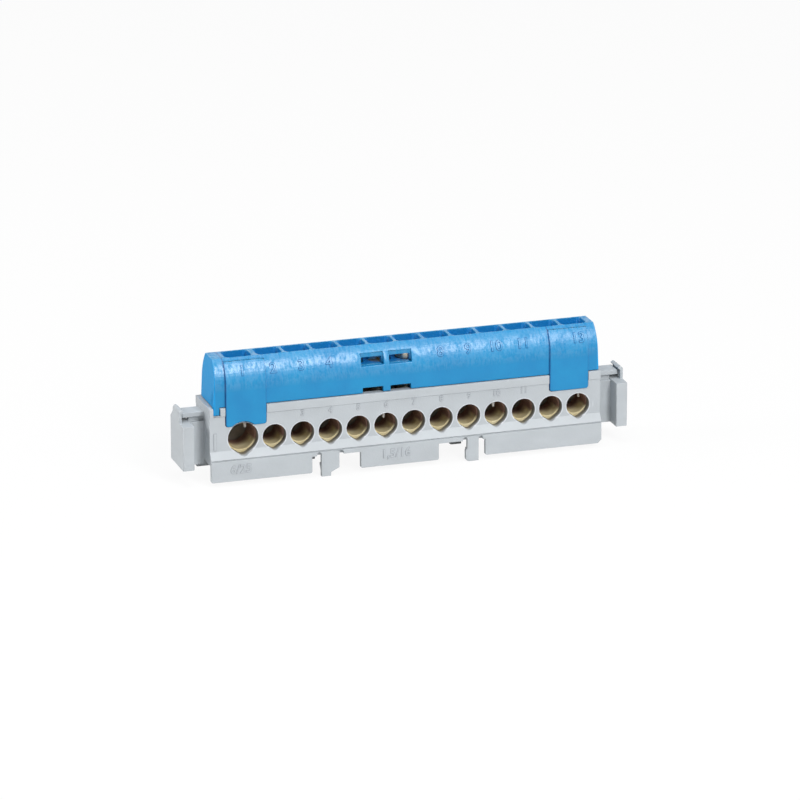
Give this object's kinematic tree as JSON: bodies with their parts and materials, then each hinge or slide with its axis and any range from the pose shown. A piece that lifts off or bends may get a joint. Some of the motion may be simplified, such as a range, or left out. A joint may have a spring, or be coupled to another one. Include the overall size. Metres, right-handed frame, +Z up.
{
  "type": "terminal block",
  "caption": "Finger-safe distribution terminal block: a grey base with a row of round wire entries, a blue cover that clips over it, with screw wells, and a brass terminal bar inside.",
  "frame": {"origin": "middle of the seat that lies on the fixing bar, midway between the outer faces of the end fittings", "axes": "+X along the row, from the large wire entry to the last small one; +Y from the wire side to the back; +Z up out of the screw wells"},
  "size_m": [0.1126, 0.0142, 0.0308],
  "materials": {
    "grey_plastic": "fine moulded",
    "blue_plastic": "satin moulded",
    "brass": "drawn bar",
    "screw_steel": "zinc plated"
  },
  "bodies": {
    "housing": {"base_housing": "grey_plastic", "cover": "blue_plastic", "terminal_bar": "brass"},
    "screw_01": {"clamp_screw_01": "screw_steel"},
    "screw_02": {"clamp_screw_02": "screw_steel"},
    "screw_03": {"clamp_screw_03": "screw_steel"},
    "screw_04": {"clamp_screw_04": "screw_steel"},
    "screw_05": {"clamp_screw_05": "screw_steel"},
    "screw_06": {"clamp_screw_06": "screw_steel"},
    "screw_07": {"clamp_screw_07": "screw_steel"},
    "screw_08": {"clamp_screw_08": "screw_steel"},
    "screw_09": {"clamp_screw_09": "screw_steel"},
    "screw_10": {"clamp_screw_10": "screw_steel"},
    "screw_11": {"clamp_screw_11": "screw_steel"},
    "screw_12": {"clamp_screw_12": "screw_steel"},
    "screw_13": {"clamp_screw_13": "screw_steel"}
  },
  "joints": [
    {"name": "clamp_screw_01_travel", "type": "slide", "parent": "housing", "child": "screw_01", "axis": [0, 0, 1], "range_m": [-0.0044, 0.0016]},
    {"name": "clamp_screw_02_travel", "type": "slide", "parent": "housing", "child": "screw_02", "axis": [0, 0, 1], "range_m": [-0.0048, 0]},
    {"name": "clamp_screw_03_travel", "type": "slide", "parent": "housing", "child": "screw_03", "axis": [0, 0, 1], "range_m": [-0.0048, 0]},
    {"name": "clamp_screw_04_travel", "type": "slide", "parent": "housing", "child": "screw_04", "axis": [0, 0, 1], "range_m": [-0.0048, 0]},
    {"name": "clamp_screw_05_travel", "type": "slide", "parent": "housing", "child": "screw_05", "axis": [0, 0, 1], "range_m": [-0.0048, 0]},
    {"name": "clamp_screw_06_travel", "type": "slide", "parent": "housing", "child": "screw_06", "axis": [0, 0, 1], "range_m": [-0.0032, 0.0016]},
    {"name": "clamp_screw_07_travel", "type": "slide", "parent": "housing", "child": "screw_07", "axis": [0, 0, 1], "range_m": [-0.0048, 0]},
    {"name": "clamp_screw_08_travel", "type": "slide", "parent": "housing", "child": "screw_08", "axis": [0, 0, 1], "range_m": [-0.0048, 0]},
    {"name": "clamp_screw_09_travel", "type": "slide", "parent": "housing", "child": "screw_09", "axis": [0, 0, 1], "range_m": [-0.0048, 0]},
    {"name": "clamp_screw_10_travel", "type": "slide", "parent": "housing", "child": "screw_10", "axis": [0, 0, 1], "range_m": [-0.0032, 0.0016]},
    {"name": "clamp_screw_11_travel", "type": "slide", "parent": "housing", "child": "screw_11", "axis": [0, 0, 1], "range_m": [-0.0048, 0]},
    {"name": "clamp_screw_12_travel", "type": "slide", "parent": "housing", "child": "screw_12", "axis": [0, 0, 1], "range_m": [-0.0048, 0]},
    {"name": "clamp_screw_13_travel", "type": "slide", "parent": "housing", "child": "screw_13", "axis": [0, 0, 1], "range_m": [-0.0032, 0.0016]}
  ]
}
